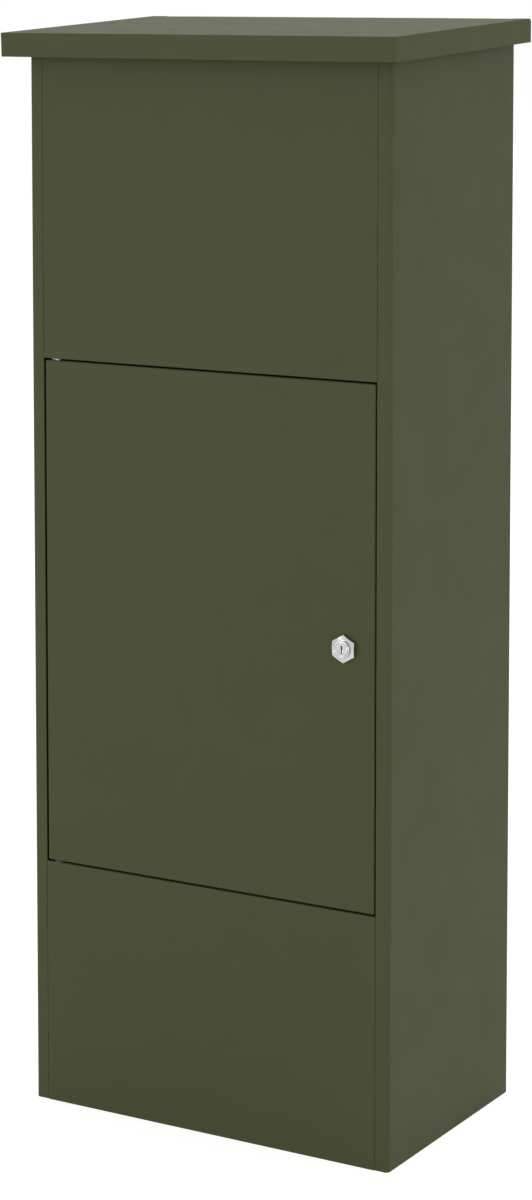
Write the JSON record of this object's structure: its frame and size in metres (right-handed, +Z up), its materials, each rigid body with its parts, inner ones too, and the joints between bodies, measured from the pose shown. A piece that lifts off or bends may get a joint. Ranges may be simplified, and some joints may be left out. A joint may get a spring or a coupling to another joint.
{
  "type": "parcel drop box",
  "caption": "Free-standing sheet-steel parcel drop box with a sloped overhanging lid, an anti-theft hopper under it and a flush front door with a cam lock.",
  "frame": {"origin": "on the ground, in the middle of the outline with the lid's overhang", "axes": "+Z up, -Y towards the front with the door, +X to the right as seen from the front"},
  "size_m": [0.412, 0.263, 1.0228],
  "materials": {
    "powder_coat": "smooth satin olive-green powder coat on sheet steel",
    "zinc_plate": "bright zinc-plated steel",
    "lock_nickel": "polished nickel-plated lock parts",
    "nylon": "natural white nylon",
    "foam_seal": "soft black cellular rubber strip",
    "rubber_mat": "matt black ribbed rubber mat",
    "rubber_bumper": "moulded black rubber"
  },
  "bodies": {
    "cabinet": {"left_side_panel": "powder_coat", "right_side_panel": "powder_coat", "back_panel": "powder_coat", "front_upper_panel": "powder_coat", "front_lower_panel": "powder_coat", "floor_pan": "powder_coat", "floor_mat": "rubber_mat", "hinge_jamb": "powder_coat", "latch_jamb": "powder_coat", "door_seal": "foam_seal", "rim_frame": "powder_coat", "rim_seal": "foam_seal", "pivot_bush_top": "nylon", "pivot_bush_bottom": "nylon", "lid_hinge_fixed_leaf": "zinc_plate", "lid_hinge_pin": "zinc_plate", "fixed_leaf_studs": "zinc_plate", "fixed_leaf_nuts": "zinc_plate"},
    "door": {"door_panel": "powder_coat", "door_stiffener": "powder_coat", "door_pin_top": "zinc_plate", "door_pin_bottom": "zinc_plate", "lock_body": "lock_nickel", "lock_nut": "zinc_plate"},
    "lock": {"lock_plug": "lock_nickel", "lock_cam": "zinc_plate", "cam_screw": "zinc_plate"},
    "lid": {"lid_pan": "powder_coat", "lid_hinge_moving_leaf": "zinc_plate", "moving_leaf_studs": "zinc_plate", "moving_leaf_nuts": "zinc_plate", "hopper_tray": "powder_coat", "hopper_cheek_left": "powder_coat", "hopper_cheek_right": "powder_coat", "hopper_rivets": "zinc_plate", "hopper_studs": "zinc_plate", "hopper_nuts": "zinc_plate", "hopper_bumpers": "rubber_bumper"}
  },
  "joints": [
    {"name": "door_swing", "type": "hinge", "parent": "cabinet", "child": "door", "pos_m": [-0.1645, -0.1025, 0.4], "axis": [0, 0, -1], "range_deg": [0, 115]},
    {"name": "lock_turn", "type": "hinge", "parent": "door", "child": "lock", "pos_m": [0.145, -0.1085, 0.4701], "axis": [0, -1, 0], "range_deg": [0, 90]},
    {"name": "lid_lift", "type": "hinge", "parent": "cabinet", "child": "lid", "pos_m": [0, 0.128, 1.01932], "axis": [-1, 0, 0], "range_deg": [0, 80]}
  ]
}
